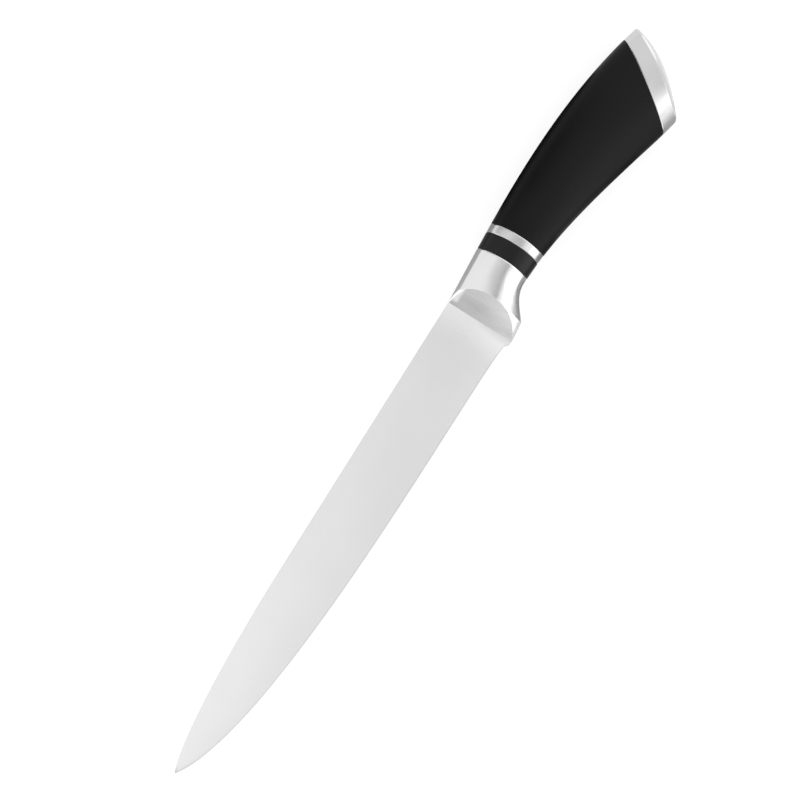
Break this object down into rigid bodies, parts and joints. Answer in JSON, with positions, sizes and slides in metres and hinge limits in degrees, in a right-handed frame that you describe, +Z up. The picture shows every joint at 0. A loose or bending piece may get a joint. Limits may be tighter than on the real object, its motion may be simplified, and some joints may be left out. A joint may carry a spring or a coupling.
{
  "type": "carving knife",
  "caption": "Long pointed carving knife with a flared steel bolster, a black grip stacked with a steel ring, and a slanted, domed steel end cap.",
  "frame": {"origin": "under the middle of the knife's outline, on the surface that it lies on", "axes": "the knife lies on its side: +X from the tip to the butt, +Y from the cutting edge to the spine, +Z up through the thickness"},
  "size_m": [0.3279, 0.039, 0.019],
  "materials": {
    "blade_steel": "satin ground stainless steel",
    "bolster_steel": "bright polished stainless steel",
    "ring_steel": "polished stainless steel",
    "cap_steel": "polished cast stainless steel",
    "black_moulding": "semi-matt black moulded plastic",
    "fastener_steel": "zinc-plated steel",
    "cured_resin": "cured amber epoxy"
  },
  "bodies": {
    "root": {"blade": "blade_steel", "bolster": "bolster_steel", "front_spacer": "black_moulding", "steel_ring": "ring_steel", "grip": "black_moulding", "tang_stud": "fastener_steel", "thrust_washer": "fastener_steel", "spring_washer": "fastener_steel", "clamp_nut": "fastener_steel", "resin_plug": "cured_resin", "end_cap": "cap_steel"}
  },
  "joints": []
}
